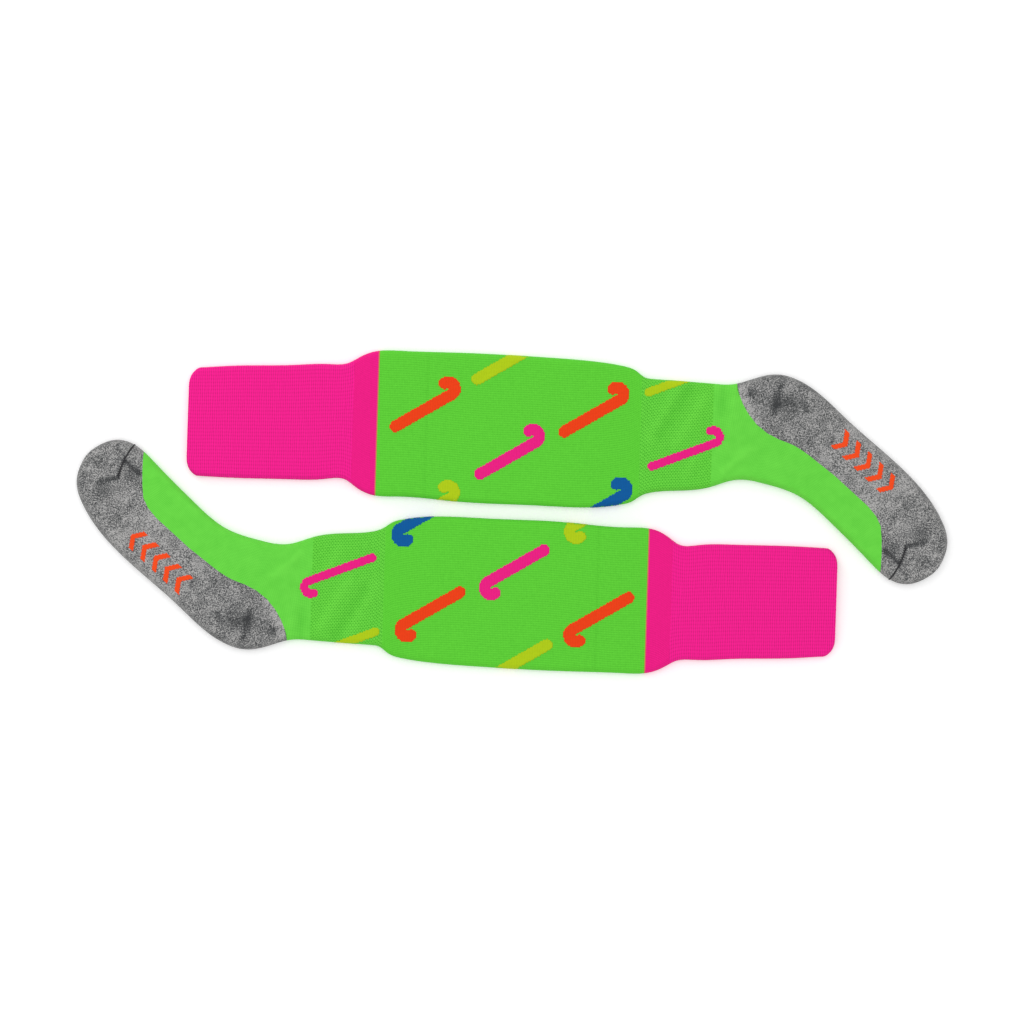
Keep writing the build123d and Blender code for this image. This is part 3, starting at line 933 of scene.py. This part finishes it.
# Painted light and shade on the grey: darker patches for the shade in the heel's hollow and round the
# toe's creases, paler ones for the lit strip along the heel's border.
light_and_shade_patches += [
    (-37.0, -26.0, 9.0, -0.080),
    (-50.0, -23.0, 9.0, -0.060),
    (-15.0, -34.0, 4.0, -0.090),
    (-19.0, -26.0, 4.0, -0.050),
    (-8.0, -36.0, 3.5, 0.100),
    (-10.0, -27.0, 3.5, 0.100),
    (-14.0, -19.0, 3.5, 0.090),
    (-20.0, -11.0, 3.5, 0.070),
    (-157.0, 76.0, 8.0, -0.050),
    (-130.0, 88.0, 7.0, -0.050),
]
creases += [
    ((-137.6, 98.3), (-124.5, 87.6), 1.6, -0.55),
    ((-142.0, 84.6), (-156.3, 80.9), 1.8, -0.55),
    ((-33.0, -18.0), (-38.0, -40.0), 2.4, -0.35),
]
grey_piece("heel", np.linspace(SOLE_FROM, grey_from, 60), ANKLE_BEND, ("heel",), marl_shaded)
grey_piece("sole", np.linspace(TOE_CAP_FROM, SOLE_FROM, 50), ("foot",), ("sole",), marl_lit)
past_toe = toe_at + 0.2 + (TOE_CAP_FROM - toe_at - 0.2) * np.linspace(0, 1, 60) ** 1.5
grey_piece("toe_cap", past_toe, ("foot",), ("toe_cap",), marl_shaded, True)


# ---------------------------------------------------------------- the mark on the sole
# A row of arrowheads in orange yarn, knitted into the grey of the sole, pointing to the toe.
MARK_PITCH = 12.5
MARK_COUNT = 5
MARK_FROM = 44.6
MARK_MIDDLE = -17.75
MARK_HALF = 9.0
MARK_POINT = 6.0
MARK_STROKE = 4.6
MARK_ORANGE = (0.950, 0.076, 0.012)
# The groove colour is painted shade: the same orange, darker where the stitches dip.
MARK_GROOVE_SHADE = tuple(0.75 * part for part in MARK_ORANGE)
MARK_STITCH = (0.8, 0.8)


def in_mark(x, y):
    """Whether a point of the lay is inside one of the arrowheads."""
    dx, dy = x - HEEL_MIDDLE[0], y - HEEL_MIDDLE[1]
    a = -dx * math.cos(FOOT_BEND) + dy * math.sin(FOOT_BEND)
    b = dx * math.sin(FOOT_BEND) + dy * math.cos(FOOT_BEND)
    if abs(b - MARK_MIDDLE) > MARK_HALF:
        return False
    back = a - MARK_FROM - MARK_POINT * (1 - abs(b - MARK_MIDDLE) / MARK_HALF)
    return 0 <= back < MARK_COUNT * MARK_PITCH and back % MARK_PITCH < MARK_STROKE


mark_yarn = knitted("mark_yarn", MARK_ORANGE, MARK_GROOVE_SHADE, YARN_WALE, YARN_COURSE, 0.3)
inlay(
    "sole_mark",
    in_mark,
    (-FAN - 70.0, -FAN + 6.0),
    (SHIN_SIDE + 20.0, SHIN_SIDE + 62.0),
    mark_yarn,
    ("foot",),
    ("sole_mark",),
    MARK_STITCH,
)


# ---------------------------------------------------------------- the toe seam
# The toe is closed by hand linking: a dark corded line from the instep's fold towards the sole, with
# small ladder stitches across its lower half, on the top and on the underside.
SEAM_GREY = (0.022, 0.023, 0.025)
SEAM_RADIUS = 0.7
SEAM_LINE = ((152.6, 36.5), (151.9, 30.0), (150.0, 22.0), (147.4, 15.0), (144.3, 8.7))
SEAM_STEPS = 30
LADDER_COUNT = 9
LADDER_FROM = 14
LADDER_SPAN = 15.0
LADDER_HALF = 1.7
LADDER_LEAN = 0.3
RUNG_RADIUS = 0.32


def thread(path, radius, sides=8):
    """A round thread along a path of points, closed at both ends, as corners and faces."""
    path = [Vector(p) for p in path]
    corners, faces = [], []
    for i, point in enumerate(path):
        way = (path[min(i + 1, len(path) - 1)] - path[max(i - 1, 0)]).normalized()
        side = way.cross(Vector((0, 0, 1))).normalized()
        up = side.cross(way)
        for k in range(sides):
            turn = 2 * math.pi * k / sides
            corners.append(point + radius * (math.cos(turn) * side + math.sin(turn) * up))
    for i in range(len(path) - 1):
        for k in range(sides):
            n = (k + 1) % sides
            faces.append((i * sides + k, i * sides + n, (i + 1) * sides + n, (i + 1) * sides + k))
    faces.append(tuple(range(sides))[::-1])
    last = (len(path) - 1) * sides
    faces.append(tuple(range(last, last + sides)))
    return corners, faces


def on_face(a, b, side, lift):
    """A point of the foot's outer face, from its place along and across the foot."""
    t, reach = off_course(*from_foot(a, b))
    reach = max(reach, float(shin_fold(t)) + 0.01)
    return Vector(face(np.array([t]), np.array([reach]), side, lift)[0])


seam_corners, seam_faces = [], []


def add_thread(path, radius):
    """Adds one thread to the seam's corners and faces."""
    corners, faces = thread(path, radius)
    base = len(seam_corners)
    seam_corners.extend(corners)
    seam_faces.extend(tuple(base + i for i in f) for f in faces)


knots = range(len(SEAM_LINE))
seam_places = np.linspace(0, knots[-1], SEAM_STEPS)
line_a = np.interp(seam_places, knots, [a for a, _ in SEAM_LINE])
line_b = np.interp(seam_places, knots, [b for _, b in SEAM_LINE])
for side in (1, -1):
    add_thread([on_face(a, b, side, -0.1) for a, b in zip(line_a, line_b)], SEAM_RADIUS)
    for rung in range(LADDER_COUNT):
        place = LADDER_FROM + rung * LADDER_SPAN / (LADDER_COUNT - 1)
        a = float(np.interp(place, range(SEAM_STEPS), line_a))
        b = float(np.interp(place, range(SEAM_STEPS), line_b))
        ends = [
            on_face(a + step * LADDER_HALF, b + LADDER_LEAN * step, side, 0.0)
            for step in (-1, -0.4, 0.4, 1)
        ]
        add_thread(ends, RUNG_RADIUS)
seam_mesh = bpy.data.meshes.new("toe_seam")
seam_mesh.from_pydata([tuple(c) for c in seam_corners], [], seam_faces)
seam_mesh.polygons.foreach_set("use_smooth", [True] * len(seam_mesh.polygons))
seam_finish, seam_shader, *_ = nodes_of("seam_yarn")
seam_shader.inputs["Base Color"].default_value = (*SEAM_GREY, 1.0)
seam_shader.inputs["Roughness"].default_value = 0.9
set_down("toe_seam", seam_mesh, seam_finish, ("foot",), ("toe_seam",))
